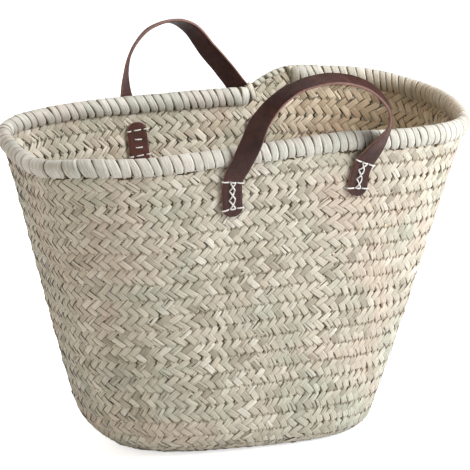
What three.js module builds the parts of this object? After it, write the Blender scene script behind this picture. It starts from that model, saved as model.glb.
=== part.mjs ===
// Straw basket bag with two short leather handles.
// Millimetres, +Z up, front of the basket towards -Y, origin under the middle of its outer box.
import * as THREE from 'three';

// Size of the basket, measured on the outside of the wall
const mouthLength = 472;
const mouthDepth = 232;
const baseLength = 283;
const baseDepth = 177;
const baseShift = -15;
const rimHeight = 323;
const wallThickness = 3;
const lowerEdgeRadiusLeft = 41;
const lowerEdgeRadiusRight = 19;

// Roundness of the oval at the left and the right end, 2 is an ellipse and more is squarer
const mouthRoundness = { left: 4.1, right: 3.1 };
const baseRoundness = { left: 2.56, right: 2.9 };

// Wrapped roll round the mouth, open for a short stretch where the end of the plait shows
const rollHeightLeft = 16;
const rollHeightRight = 19;
const rollThickness = 14;
const rollInset = 3;
const rollFirstTurn = 76.5;
const rollLastTurn = 426.5;
const rollEndLength = 4;

// Leather straps and the patches behind their sewn ends
const strapWidth = 21;
const strapThickness = 3.2;
const strapRise = 63;
const strapHalfSpacing = 66.5;
const strapLean = 16;
const strapEndRadius = 9;
const frontStrapMiddle = 15.5;
const backStrapMiddle = 0;
const patchLength = 48;
const patchThickness = 2.6;

// Space kept between touching pieces
const clearance = 0.35;
const patchClearance = 0.6;

// Fineness of the facets
const turnStep = 5;
const edgeSteps = 4;
const wallSteps = 7;
const rollSides = 10;
const strapSteps = 44;
const strapEndSteps = 4;
const patchSteps = 3;
const bareSteps = 4;
const rollEndSteps = 3;

// Rise of the wall (share of the rim height) against its spread from the base to the mouth oval
const wallSections = [
  { rise: 0, spread: 0 },
  { rise: 0.25, spread: 0.27 },
  { rise: 0.5, spread: 0.514 },
  { rise: 0.75, spread: 0.748 },
  { rise: 1, spread: 1 },
];

// Top of the roll (share of the rim height) against degrees round the mouth,
// counted from the right end over the back, with the step of the plait between 66.5 and 76.5
const rimSections = [
  { turn: 76.5, height: 1.01 },
  { turn: 90, height: 1.012 },
  { turn: 120, height: 1.009 },
  { turn: 150, height: 0.986 },
  { turn: 180, height: 0.958 },
  { turn: 205, height: 0.964 },
  { turn: 225, height: 0.983 },
  { turn: 238, height: 0.9805 },
  { turn: 250, height: 0.988 },
  { turn: 270, height: 1.001 },
  { turn: 286, height: 1.01 },
  { turn: 300, height: 0.999 },
  { turn: 330, height: 0.989 },
  { turn: 360, height: 1.009 },
  { turn: 390, height: 1.022 },
  { turn: 412, height: 1.056 },
  { turn: 426.5, height: 1.066 },
];

// Run of the straps from left end to right end. side is a share of the half spacing, up a share of
// the rise above the rim, over is 0 on the wall and 1 over the roll, lean a share of the strap's
// lean, and facing turns the face from outward at 0 to away from the loop at 90 degrees
const frontStrapRun = [
  { side: -0.995, up: -1.12, over: 0, lean: 0, facing: 0 },
  { side: -1.014, up: -0.55, over: 0.15, lean: 0, facing: 0 },
  { side: -0.915, up: -0.254, over: 1, lean: 0.12, facing: 6 },
  { side: -0.8, up: 0.044, over: 1, lean: 0.28, facing: 20 },
  { side: -0.675, up: 0.373, over: 1, lean: 0.45, facing: 48 },
  { side: -0.435, up: 0.687, over: 1, lean: 0.6, facing: 70 },
  { side: -0.12, up: 0.905, over: 1, lean: 0.8, facing: 77 },
  { side: 0.417, up: 1.003, over: 1, lean: 1, facing: 75 },
  { side: 0.98, up: 0.82, over: 1, lean: 0.95, facing: 70 },
  { side: 1.3, up: 0.46, over: 1, lean: 0.85, facing: 65 },
  { side: 1.35, up: 0.18, over: 1, lean: 0.7, facing: 58 },
  { side: 1.27, up: -0.05, over: 1, lean: 0.45, facing: 38 },
  { side: 1.15, up: -0.27, over: 1, lean: 0.2, facing: 16 },
  { side: 1.036, up: -0.52, over: 0.15, lean: 0, facing: 0 },
  { side: 0.959, up: -0.984, over: 0, lean: 0, facing: 0 },
];
const backStrapRun = [
  { side: -0.947, up: -1.095, over: 0.05, lean: 0, facing: 0 },
  { side: -1, up: -0.52, over: 0.22, lean: 0, facing: 0 },
  { side: -1.05, up: -0.206, over: 1, lean: 0.25, facing: 20 },
  { side: -1.07, up: 0.05, over: 1, lean: 0.5, facing: 44 },
  { side: -1.06, up: 0.35, over: 1, lean: 0.6, facing: 60 },
  { side: -1, up: 0.635, over: 1, lean: 0.65, facing: 66 },
  { side: -0.87, up: 0.873, over: 1, lean: 0.7, facing: 68 },
  { side: -0.66, up: 1.07, over: 1, lean: 0.75, facing: 72 },
  { side: -0.28, up: 1.163, over: 1, lean: 0.8, facing: 76 },
  { side: 0, up: 1.03, over: 1, lean: 0.75, facing: 58 },
  { side: 0.28, up: 0.65, over: 1, lean: 0.6, facing: 42 },
  { side: 0.49, up: 0.38, over: 1, lean: 0.5, facing: 38 },
  { side: 0.72, up: 0.05, over: 1, lean: 0.4, facing: 30 },
  { side: 0.87, up: -0.22, over: 1, lean: 0.2, facing: 14 },
  { side: 0.95, up: -0.52, over: 0.22, lean: 0, facing: 0 },
  { side: 0.9, up: -1.16, over: 0.05, lean: 0, facing: 0 },
];

// Leaning of the patches: how far their upper end stands to the right, as a share of their length
const patchLean = { frontLeft: -0.02, frontRight: 0.16, backLeft: -0.08, backRight: 0.14 };

// Drop of the middle of each patch below the rim
const patchDrop = { frontLeft: 47, frontRight: 47, backLeft: 47, backRight: 51 };

const mix = THREE.MathUtils.lerp;
const radians = THREE.MathUtils.degToRad;

// Smooth value of one column of a table at a place along its key column
function tableValue(rows, key, column, place) {
  const last = rows.length - 1;
  const at = THREE.MathUtils.clamp(place, rows[0][key], rows[last][key]);
  let i = 0;
  while (i < last - 1 && rows[i + 1][key] < at) i += 1;
  const slope = (k) => {
    const before = rows[Math.max(k - 1, 0)];
    const after = rows[Math.min(k + 1, last)];
    return (after[column] - before[column]) / (after[key] - before[key]);
  };
  const span = rows[i + 1][key] - rows[i][key];
  const t = (at - rows[i][key]) / span;
  const bend = (1 - t) * slope(i) - t * slope(i + 1);
  const drop = (rows[i + 1][column] - rows[i][column]) * (1 - 2 * t);
  return mix(rows[i][column], rows[i + 1][column], t) + t * (1 - t) * (bend * span - drop);
}

// Share of the way from the left end to the right end
function rightShare(turn) {
  return 0.5 * (1 + Math.cos(radians(turn)));
}

// Height of the top of the roll, or of the bare end of the plait that climbs between its two ends
function rimTop(turn) {
  const from = rollFirstTurn;
  const around = from + THREE.MathUtils.euclideanModulo(turn - from, 360);
  const climb = THREE.MathUtils.clamp((from + 360 - around) / (from + 360 - rollLastTurn), 0, 1);
  const low = tableValue(rimSections, 'turn', 'height', from);
  if (around > rollLastTurn) {
    const high = tableValue(rimSections, 'turn', 'height', rollLastTurn);
    return rimHeight * mix(low, high, Math.sin(climb * Math.PI / 2));
  }
  return rimHeight * tableValue(rimSections, 'turn', 'height', around);
}

function rollHeight(turn) {
  return mix(rollHeightLeft, rollHeightRight, rightShare(turn));
}

// Horizontal direction square to the oval, and the point on the wall a distance inside its outer
// face, at one turn and height
function wallFrame(turn, height, inset) {
  const rise = height / rimHeight;
  const inRange = Math.min(rise, 1);
  const spread = tableValue(wallSections, 'rise', 'spread', inRange) + (rise - inRange);
  const halfLength = mix(baseLength, mouthLength, spread) / 2;
  const halfDepth = mix(baseDepth, mouthDepth, spread) / 2;
  const c = Math.cos(radians(turn));
  const s = Math.sin(radians(turn));
  const end = c < 0 ? 'left' : 'right';
  const power = mix(baseRoundness[end], mouthRoundness[end], inRange);
  const size = (Math.abs(c) ** power + Math.abs(s) ** power) ** (-1 / power);
  const across = Math.sign(c) * Math.abs(size * c) ** (power - 1) / halfLength;
  const along = Math.sign(s) * Math.abs(size * s) ** (power - 1) / halfDepth;
  const outward = new THREE.Vector3(across, along, 0).normalize();
  const middle = baseShift * (1 - rise);
  const point = new THREE.Vector3(middle + halfLength * size * c, halfDepth * size * s, height);
  return { point: point.addScaledVector(outward, -inset), outward };
}

// Turn at which the wall passes a given x at a given height, on the front (-1) or the back (1)
function turnAt(x, height, facing) {
  let near = 1;
  let far = 179;
  for (let i = 0; i < 30; i += 1) {
    const middle = (near + far) / 2;
    if (wallFrame(facing * middle, height, 0).point.x > x) near = middle;
    else far = middle;
  }
  return facing * (near + far) / 2;
}

// Closed surface through rings of equal length, with its two ends filled by a fan
function surfaceFromRings(rings) {
  const count = rings[0].length;
  const points = rings.flat();
  const faces = [];
  for (let r = 0; r + 1 < rings.length; r += 1) {
    for (let i = 0; i < count; i += 1) {
      const j = (i + 1) % count;
      const a = r * count + i;
      const b = r * count + j;
      faces.push(a, b, b + count, a, b + count, a + count);
    }
  }
  const middleOf = (ring) => ring.reduce((sum, p) => sum.add(p), new THREE.Vector3()).divideScalar(count);
  const first = points.length;
  points.push(middleOf(rings[0]), middleOf(rings[rings.length - 1]));
  const start = (rings.length - 1) * count;
  for (let i = 0; i < count; i += 1) {
    const j = (i + 1) % count;
    faces.push(first, j, i, first + 1, start + i, start + j);
  }
  const geometry = new THREE.BufferGeometry().setFromPoints(points);
  geometry.setIndex(faces);
  geometry.computeVertexNormals();
  return geometry;
}

// Woven body: one wall from the middle of the base out, up, over the top edge and back down inside
function bodyGeometry() {
  const bareFirst = rollLastTurn - 360;
  const edgeTurn = 0.5;
  const bareTurns = [bareFirst, bareFirst + edgeTurn, rollFirstTurn - edgeTurn, rollFirstTurn];
  for (let k = 1; k < bareSteps; k += 1) bareTurns.push(mix(bareTurns[1], bareTurns[2], k / bareSteps));
  const turns = [...bareTurns];
  for (let turn = 0; turn < 360; turn += turnStep) {
    if (turn < bareFirst - edgeTurn || turn > rollFirstTurn + edgeTurn) turns.push(turn);
  }
  turns.sort((a, b) => a - b);
  const shoulder = (turn) => rimTop(turn) - rollHeight(turn) - clearance - wallThickness;
  const isBare = (turn) => turn > bareFirst && turn < rollFirstTurn;
  const top = (turn) => (isBare(turn) ? rimTop(turn) : shoulder(turn) + wallThickness);
  const ring = (place) => turns.map(place);
  const rings = [];
  const addSide = (inset, floor) => {
    const side = [];
    const radius = (turn) => mix(lowerEdgeRadiusLeft, lowerEdgeRadiusRight, rightShare(turn)) - inset;
    for (let k = 0; k <= edgeSteps; k += 1) {
      const angle = (k / edgeSteps) * Math.PI / 2;
      side.push(ring((turn) => wallFrame(turn, floor + radius(turn) * (1 - Math.cos(angle)),
        inset + radius(turn) * (1 - Math.sin(angle))).point));
    }
    for (let k = 1; k <= wallSteps; k += 1) {
      side.push(ring((turn) => wallFrame(turn,
        mix(floor + radius(turn), shoulder(turn), k / wallSteps), inset).point));
    }
    side.push(ring((turn) => wallFrame(turn, top(turn), inset).point));
    return side;
  };
  rings.push(...addSide(0, 0));
  rings.push(...addSide(wallThickness, wallThickness).reverse());
  return surfaceFromRings(rings);
}

// Wrapped roll: an upright oval section carried round the mouth, rounded at both ends
function rollGeometry() {
  const turnPerLength = 360 / (Math.PI * (mouthLength + mouthDepth) / 2);
  const endTurn = rollEndLength * turnPerLength;
  const stations = [];
  for (let k = 1; k <= rollEndSteps; k += 1) {
    const angle = (k / (rollEndSteps + 1)) * Math.PI / 2;
    const along = endTurn * (1 - Math.cos(angle));
    stations.push({ turn: rollFirstTurn + along, size: Math.sin(angle) });
    stations.push({ turn: rollLastTurn - along, size: Math.sin(angle) });
  }
  for (let turn = Math.ceil((rollFirstTurn + endTurn) / turnStep) * turnStep;
    turn < rollLastTurn - endTurn; turn += turnStep) stations.push({ turn, size: 1 });
  stations.sort((a, b) => a.turn - b.turn);
  const rings = stations.map(({ turn, size }) => {
    const half = rollHeight(turn) / 2;
    const { point, outward } = wallFrame(turn, rimTop(turn) - half, rollInset);
    const section = [];
    for (let k = 0; k < rollSides; k += 1) {
      const angle = (k / rollSides) * 2 * Math.PI;
      const corner = point.clone().addScaledVector(outward, size * Math.cos(angle) * rollThickness / 2);
      corner.z += size * Math.sin(angle) * half;
      section.push(corner);
    }
    return section.reverse();
  });
  return surfaceFromRings(rings);
}

// Flat strap with chamfered edges and rounded ends through stations of point, face direction and
// half width
function strapGeometry(stations, thickness) {
  const bevel = 0.3 * thickness;
  const halfThickness = thickness / 2;
  const rings = stations.map(({ point, face, halfWidth }, i) => {
    const before = stations[Math.max(i - 1, 0)].point;
    const after = stations[Math.min(i + 1, stations.length - 1)].point;
    const forward = after.clone().sub(before).normalize();
    const outward = face.clone().addScaledVector(forward, -face.dot(forward)).normalize();
    const sideways = forward.clone().cross(outward);
    const inner = Math.max(halfWidth - bevel, halfWidth / 2);
    const corners = [
      [halfWidth, bevel - halfThickness], [halfWidth, halfThickness - bevel],
      [inner, halfThickness], [-inner, halfThickness],
      [-halfWidth, halfThickness - bevel], [-halfWidth, bevel - halfThickness],
      [-inner, -halfThickness], [inner, -halfThickness],
    ];
    return corners.map(([across, up]) => point.clone()
      .addScaledVector(sideways, across).addScaledVector(outward, up));
  });
  return surfaceFromRings(rings.map((ring) => ring.reverse()));
}

// Half width of a strap with round ends, a given way along from its nearer end
function roundedHalfWidth(along, halfWidth) {
  if (along >= strapEndRadius) return halfWidth;
  const flat = halfWidth - strapEndRadius;
  return flat + Math.sqrt(Math.max(0, strapEndRadius ** 2 - (strapEndRadius - along) ** 2));
}

// Strap of one side: its run in space, sewn to the outside of the wall at both ends
function handleGeometry(run, middle, facing) {
  const sections = run.map(({ side, up, over, lean, facing: turned }) => {
    const x = middle + side * strapHalfSpacing;
    const height = rimHeight + up * strapRise;
    const level = Math.min(height, rimHeight);
    const proud = over * (rollThickness / 2 - rollInset) + lean * strapLean;
    const { point, outward } = wallFrame(turnAt(x, level, facing), level,
      -(proud + clearance + strapThickness / 2));
    return { point: point.setZ(height), outward, turned: radians(turned) };
  });
  const curve = new THREE.CatmullRomCurve3(sections.map(({ point }) => point), false, 'centripetal');
  const length = curve.getLength();
  const places = [];
  for (let k = 0; k <= strapSteps; k += 1) {
    places.push(mix(strapEndRadius, length - strapEndRadius, k / strapSteps));
  }
  for (let k = 0; k < strapEndSteps; k += 1) {
    const along = strapEndRadius * (1 - Math.cos((k / strapEndSteps) * Math.PI / 2));
    places.push(along, length - along);
  }
  places.sort((a, b) => a - b);
  const stations = places.map((along) => {
    const share = curve.getUtoTmapping(along / length);
    const point = curve.getPoint(share);
    const forward = curve.getTangent(share);
    const before = Math.min(Math.floor(share * (sections.length - 1)), sections.length - 2);
    const between = share * (sections.length - 1) - before;
    const outward = sections[before].outward.clone().lerp(sections[before + 1].outward, between);
    outward.addScaledVector(forward, -outward.dot(forward)).normalize();
    const away = outward.clone().cross(forward).multiplyScalar(-facing);
    const turned = mix(sections[before].turned, sections[before + 1].turned, between);
    const face = outward.multiplyScalar(Math.cos(turned)).addScaledVector(away, Math.sin(turned));
    const halfWidth = roundedHalfWidth(Math.min(along, length - along), strapWidth / 2);
    return { point, face, halfWidth };
  });
  return strapGeometry(stations, strapThickness);
}

// Patch on the inside of the wall behind one sewn end
function patchGeometry(x, lean, drop, facing) {
  const places = [];
  for (let k = 0; k < strapEndSteps; k += 1) {
    const along = strapEndRadius * (1 - Math.cos((k / strapEndSteps) * Math.PI / 2));
    places.push(along, patchLength - along);
  }
  for (let k = 0; k <= patchSteps; k += 1) {
    places.push(mix(strapEndRadius, patchLength - strapEndRadius, k / patchSteps));
  }
  places.sort((a, b) => a - b);
  const middleHeight = rimHeight - drop;
  const stations = places.map((along) => {
    const height = middleHeight + along - patchLength / 2;
    const across = x + lean * (along - patchLength / 2);
    const inset = wallThickness + patchClearance + patchThickness / 2;
    const { point, outward } = wallFrame(turnAt(across, height, facing), height, inset);
    const halfWidth = roundedHalfWidth(Math.min(along, patchLength - along), strapWidth / 2);
    return { point, face: outward, halfWidth };
  });
  return strapGeometry(stations, patchThickness);
}

const straw = new THREE.MeshStandardMaterial({ color: 0xd2c6ac, roughness: 0.7, metalness: 0 });
const rimStraw = new THREE.MeshStandardMaterial({ color: 0xdbd3bd, roughness: 0.65, metalness: 0 });
const leather = new THREE.MeshStandardMaterial({ color: 0x54342c, roughness: 0.5, metalness: 0 });

const basketBag = new THREE.Group();

function addPiece(name, geometry, material) {
  const mesh = new THREE.Mesh(geometry, material.clone());
  mesh.name = name;
  basketBag.add(mesh);
}

addPiece('basket_body', bodyGeometry(), straw);
addPiece('rim_binding', rollGeometry(), rimStraw);
addPiece('front_handle', handleGeometry(frontStrapRun, frontStrapMiddle, -1), leather);
addPiece('back_handle', handleGeometry(backStrapRun, backStrapMiddle, 1), leather);

const patches = [
  { name: 'front_left_backing', key: 'frontLeft', middle: frontStrapMiddle, side: -1, facing: -1 },
  { name: 'front_right_backing', key: 'frontRight', middle: frontStrapMiddle, side: 1, facing: -1 },
  { name: 'back_left_backing', key: 'backLeft', middle: backStrapMiddle, side: -1, facing: 1 },
  { name: 'back_right_backing', key: 'backRight', middle: backStrapMiddle, side: 0.93, facing: 1 },
];
for (const { name, key, middle, side, facing } of patches) {
  const x = middle + side * strapHalfSpacing;
  addPiece(name, patchGeometry(x, patchLean[key], patchDrop[key], facing), leather);
}

// The middle of the outer box stands over the origin
const box = new THREE.Box3().setFromObject(basketBag);
const centre = box.getCenter(new THREE.Vector3());
for (const mesh of basketBag.children) mesh.position.set(-centre.x, -centre.y, -box.min.z);

export default basketBag;
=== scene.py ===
# Straw basket bag: palm leaf weave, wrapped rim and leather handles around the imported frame.
import math

import bpy
import numpy as np
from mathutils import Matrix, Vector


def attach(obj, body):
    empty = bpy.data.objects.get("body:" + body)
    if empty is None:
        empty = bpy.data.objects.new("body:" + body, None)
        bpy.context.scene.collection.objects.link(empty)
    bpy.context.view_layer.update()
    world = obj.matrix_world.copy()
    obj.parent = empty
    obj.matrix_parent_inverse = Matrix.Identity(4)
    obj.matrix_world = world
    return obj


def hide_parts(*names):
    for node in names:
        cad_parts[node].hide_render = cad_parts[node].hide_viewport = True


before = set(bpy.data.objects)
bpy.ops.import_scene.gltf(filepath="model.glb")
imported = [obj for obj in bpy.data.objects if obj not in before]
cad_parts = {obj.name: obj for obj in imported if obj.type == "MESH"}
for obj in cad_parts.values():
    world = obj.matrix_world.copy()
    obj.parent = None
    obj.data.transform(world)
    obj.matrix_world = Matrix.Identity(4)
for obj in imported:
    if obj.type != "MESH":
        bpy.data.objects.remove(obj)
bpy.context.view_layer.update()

# Everything below is worked out in millimetres like the frame's source, then moved and scaled
frameShift = np.array([-1.33, 1.52, 0.0])

basket = {
    "mouthLength": 472,
    "mouthDepth": 232,
    "baseLength": 283,
    "baseDepth": 177,
    "baseShift": -15,
    "rimHeight": 323,
    "wallThickness": 3,
    "lowerEdgeRadius": (41, 19),  # at the left and the right end
    "mouthRoundness": (4.1, 3.1),
    "baseRoundness": (2.56, 2.9),
    "spread": [(0, 0), (0.25, 0.27), (0.5, 0.514), (0.75, 0.748), (1, 1)],
}

rim = {
    "rollHeight": (16, 19),  # at the left and the right end
    "rollThickness": 14,
    "rollInset": 3,
    "firstTurn": 76.5,
    "lastTurn": 426.5,
    "topShare": [
        (76.5, 1.01), (90, 1.012), (120, 1.009), (150, 0.986), (180, 0.958), (205, 0.964),
        (225, 0.983), (238, 0.9805), (250, 0.988), (270, 1.001), (286, 1.01), (300, 0.999),
        (330, 0.989), (360, 1.009), (390, 1.022), (412, 1.056), (426.5, 1.066),
    ],
    # wrap width in mm against degrees round the mouth
    "wrapWidth": [
        (76.5, 8.5), (120, 9.5), (160, 10), (176, 12), (186, 21), (212, 22), (221, 14),
        (232, 11), (255, 9.5), (285, 9), (310, 7.6), (335, 7), (380, 8), (426.5, 8.5),
    ],
    # how far the seams lean over the height of the roll, in mm
    "seamLean": [
        (76.5, -3), (150, -4), (180, 0), (200, 3), (240, 3), (280, 2), (320, 1), (360, 0), (426.5, -3),
    ],
    # ragged lower edges of the wraps, outside and inside: angle round the roll, drop in mm, narrowing
    "tails": [(-68, 1.2, 0.2), (-112, 1.3, 0.24)],
    "endRounding": 4,
    "endTaper": 18,  # where the roll grows out of the plait, at its high end
    "seamGap": 0.3,
    "lift": 0.1,
    "seed": 5,
}

weave = {
    "leafSpacing": 6.9,  # square to the leaves, from one to the next
    # distance between leaf columns against degrees round the mouth
    "columnPitch": [
        (76.5, 10.2), (150, 10.2), (200, 10.1), (250, 10.5), (280, 10.3), (300, 9.7),
        (330, 8.8), (350, 8.8), (385, 9.6), (426.5, 10.2), (436.5, 10.2),
    ],
    "lowPitchShare": 0.9,  # of that distance in the lowest rows
    "rowPitch": 16.45,
    "leafWidth": 7.25,
    "firstApexDrop": 15,  # from the lower edge of the roll to the first row line
    "lowLine": 25,  # height of the row line that the next table counts
    "lowRows": [(76.5, 15.5), (200, 16), (340, 16), (426.5, 16.5)],
    "sink": 0.95,  # depth of the middle of the leaves below the face of the wall
    "bulge": 1.35,
    "baseRows": 4,
    "seed": 11,
}


def smoothColumn(rows, place):
    keys = np.array([row[0] for row in rows], float)
    values = np.array([row[1] for row in rows], float)
    last = len(rows) - 1
    before = np.maximum(np.arange(last + 1) - 1, 0)
    after = np.minimum(np.arange(last + 1) + 1, last)
    slope = (values[after] - values[before]) / (keys[after] - keys[before])
    at = np.clip(np.asarray(place, float), keys[0], keys[-1])
    i = np.searchsorted(keys[1:-1], at, side="left")
    span = keys[i + 1] - keys[i]
    t = (at - keys[i]) / span
    bend = (1 - t) * slope[i] - t * slope[i + 1]
    drop = (values[i + 1] - values[i]) * (1 - 2 * t)
    return values[i] + (values[i + 1] - values[i]) * t + t * (1 - t) * (bend * span - drop)


def mix(a, b, share):
    return a + (b - a) * share


def fromLeftToRight(pair, turn):
    return mix(pair[0], pair[1], 0.5 * (1 + np.cos(np.radians(turn))))


def rimTop(turn):
    first, last = rim["firstTurn"], rim["lastTurn"]
    around = first + np.mod(np.asarray(turn, float) - first, 360)
    climb = np.clip((first + 360 - around) / (first + 360 - last), 0, 1)
    low = smoothColumn(rim["topShare"], first)
    high = smoothColumn(rim["topShare"], last)
    bare = mix(low, high, np.sin(climb * math.pi / 2))
    return basket["rimHeight"] * np.where(around > last, bare, smoothColumn(rim["topShare"], around))


# True on the short stretch without roll, where the edge of the plait shows
def isBare(turn):
    around = rim["firstTurn"] + np.mod(np.asarray(turn, float) - rim["firstTurn"], 360)
    return around > rim["lastTurn"]


def rollBottom(turn):
    return rimTop(turn) - fromLeftToRight(rim["rollHeight"], turn)


# Point on the wall a distance inside its outer face, and the horizontal direction out of it
def wallFrame(turn, height, inset):
    turn, height, inset = np.broadcast_arrays(*(np.asarray(v, float) for v in (turn, height, inset)))
    rise = height / basket["rimHeight"]
    inRange = np.minimum(rise, 1)
    spread = smoothColumn(basket["spread"], inRange) + (rise - inRange)
    halfLength = mix(basket["baseLength"], basket["mouthLength"], spread) / 2
    halfDepth = mix(basket["baseDepth"], basket["mouthDepth"], spread) / 2
    c, s = np.cos(np.radians(turn)), np.sin(np.radians(turn))
    end = np.where(c < 0, 0, 1)
    power = mix(np.array(basket["baseRoundness"])[end], np.array(basket["mouthRoundness"])[end], inRange)
    size = (np.abs(c) ** power + np.abs(s) ** power) ** (-1 / power)
    across = np.sign(c) * np.abs(size * c) ** (power - 1) / halfLength
    along = np.sign(s) * np.abs(size * s) ** (power - 1) / halfDepth
    outward = np.stack([across, along, np.zeros_like(across)], -1)
    outward /= np.linalg.norm(outward, axis=-1, keepdims=True)
    middle = basket["baseShift"] * (1 - rise)
    point = np.stack([middle + halfLength * size * c, halfDepth * size * s, height], -1)
    return point - outward * inset[..., None], outward


# Point and normal a way up the wall from its rounded lower edge. Below 0 the way goes round the
# edge and on under the base
def wallPath(turn, way, depth):
    turn, way, depth = np.broadcast_arrays(*(np.asarray(v, float) for v in (turn, way, depth)))
    radius = fromLeftToRight(basket["lowerEdgeRadius"], turn)
    angle = np.clip(math.pi / 2 + np.minimum(way, 0) / radius, 0, math.pi / 2)
    beyond = np.maximum(-way - radius * math.pi / 2, 0)
    reach = radius - depth
    onWall = way >= 0
    height = np.where(onWall, radius + way, radius - reach * np.cos(angle))
    inset = np.where(onWall, depth, radius - reach * np.sin(angle) + beyond)
    point, outward = wallFrame(turn, height, inset)
    normal = outward * np.sin(angle)[..., None]
    normal[..., 2] -= np.cos(angle)
    return point, normal


# Way up the wall of a row line, counted down from the first one under the roll. Past the step of
# the plait each row runs on as the one above it
def rowWay(turn, row):
    turn, row = (np.array(v, float) for v in np.broadcast_arrays(turn, row))
    first, last = rim["firstTurn"], rim["lastTurn"]
    past = turn > first + 360
    turn[past] -= 360
    row[past] -= 1
    short = turn < first
    turn[short] += 360
    row[short] += 1
    radius = fromLeftToRight(basket["lowerEdgeRadius"], turn)
    lowLine = weave["lowLine"]
    angle = np.arccos(np.clip(1 - lowLine / radius, -1, 1))
    low = np.where(radius > lowLine, -radius * (math.pi / 2 - angle), lowLine - radius)
    rows = smoothColumn(weave["lowRows"], turn)

    def top(at):
        return rollBottom(at) - weave["firstApexDrop"]

    stepPitch = (top(first) - lowLine) / weave["lowRows"][0][1]
    bareTop = mix(top(last), top(first) + stepPitch, (turn - last) / (first + 360 - last))
    start = np.where(turn > last, bareTop, top(turn)) - radius
    return start + (low - start) * row / rows


# Smooth staircase of whole steps, so that leaf columns meet in long stretches between its risers
def stair(x, riser=0.3):
    whole = np.floor(x)
    t = np.clip((x - whole - (1 - riser)) / riser, 0, 1)
    return whole + t * t * (3 - 2 * t)


# Turn and local pitch against leaf column for one ring of leaves
def columnMap(turns, columns, ways):
    count = int(round(columns[-1]))
    pitch = np.gradient(ways) / np.gradient(columns)
    pitch = np.convolve(np.concatenate([pitch[-5:-1], pitch, pitch[1:5]]), np.ones(9) / 9, "valid")
    wide = np.concatenate([columns[-60:-1] - count, columns, columns[1:60] + count])
    wideTurns = np.concatenate([turns[-60:-1] - 360, turns, turns[1:60] + 360])
    return count, wide, wideTurns, np.concatenate([pitch[-60:-1], pitch, pitch[1:60]])


# Column maps for each band of rows, from the mouth down
def bandMaps(bands):
    turns = np.linspace(rim["firstTurn"], rim["firstTurn"] + 360, 721)
    maps = {}
    columns = None
    for n, band in enumerate(bands):
        points, _ = wallPath(turns, rowWay(turns, np.full(turns.shape, band + 0.5)), 0)
        steps = np.linalg.norm(np.diff(points, axis=0), axis=1)
        ways = np.concatenate([[0], np.cumsum(steps)])
        pitch = smoothColumn(weave["columnPitch"], (turns[1:] + turns[:-1]) / 2)
        pitch = pitch * mix(1, weave["lowPitchShare"], np.clip((band - 5) / 10, 0, 1))
        passed = np.concatenate([[0], np.cumsum(steps / pitch)])
        count = int(round(passed[-1]))
        share = passed / passed[-1]
        if columns is None:
            columns = count * share
        else:
            fewer = int(round(columns[-1])) - count
            start = (n * 0.618) % 1
            crowding = np.gradient(columns - count * share)
            crowding = np.convolve(np.pad(crowding, 40, "wrap"), np.ones(81) / 81, "valid")
            gone = np.cumsum(np.clip(crowding, 0.2 * abs(crowding.mean()) + 0.0005, None))
            gone = (gone - gone[0]) / (gone[-1] - gone[0])
            columns = columns - (stair(fewer * gone + start) - stair(start))
        maps[band] = columnMap(turns, columns, ways)
    return maps


# Grid of one leaf strip. Places along it are a share of its seen half length and a distance beyond
leafForm = {
    "along": [(-1, -2.8), (-1, -0.6), (-1, 1.5), (0, 0.2), (1, -0.9), (1, 0.75), (1, 2.75)],
    "alongHeight": [-1.0, -0.1, 0.42, 0.72, 0.5, -0.2, -1.15],
    "across": [-0.5, -0.455, -0.25, 0.25, 0.455, 0.5],
    "acrossHeight": [-0.75, -0.16, 0.02, 0.02, -0.16, -0.75],
}


def gridFaces(rows, columns, closedRows=False, closedColumns=False):
    i = np.arange(rows if closedRows else rows - 1)[:, None]
    j = np.arange(columns if closedColumns else columns - 1)[None, :]
    nextRow, nextColumn = (i + 1) % rows, (j + 1) % columns
    i, j, nextRow, nextColumn = np.broadcast_arrays(i, j, nextRow, nextColumn)
    quads = [i * columns + j, i * columns + nextColumn, nextRow * columns + nextColumn, nextRow * columns + j]
    return np.stack(quads, -1).reshape(-1, 4)


# Quads that close a ring of an even count of points
def capFaces(count):
    return [(k, k + 1, count - 2 - k, count - 1 - k) for k in range(count // 2 - 1)]


# Faces of a strip or tube of rings, closed at both ends
def tubeFaces(rings, count):
    caps = np.array(capFaces(count))
    return np.vstack([gridFaces(rings, count, closedColumns=True), caps[:, ::-1], caps + (rings - 1) * count])


# The same faces for each of many like strips
def repeatFaces(faces, count, pointsEach):
    return (faces[None] + (np.arange(count) * pointsEach)[:, None, None]).reshape(-1, 4)


# Turns the faces of each closed strip that look inwards
def facedOutward(points, faces, facesEach):
    corners = points[faces].reshape(-1, facesEach, 4, 3)
    a, b, c, d = np.moveaxis(corners - corners.mean((1, 2), keepdims=True), 2, 0)
    volume = (a * (np.cross(b, c) + np.cross(c, d))).sum((1, 2))
    inward = np.repeat(volume < 0, facesEach)
    return np.where(inward[:, None], faces[:, ::-1], faces)


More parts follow.
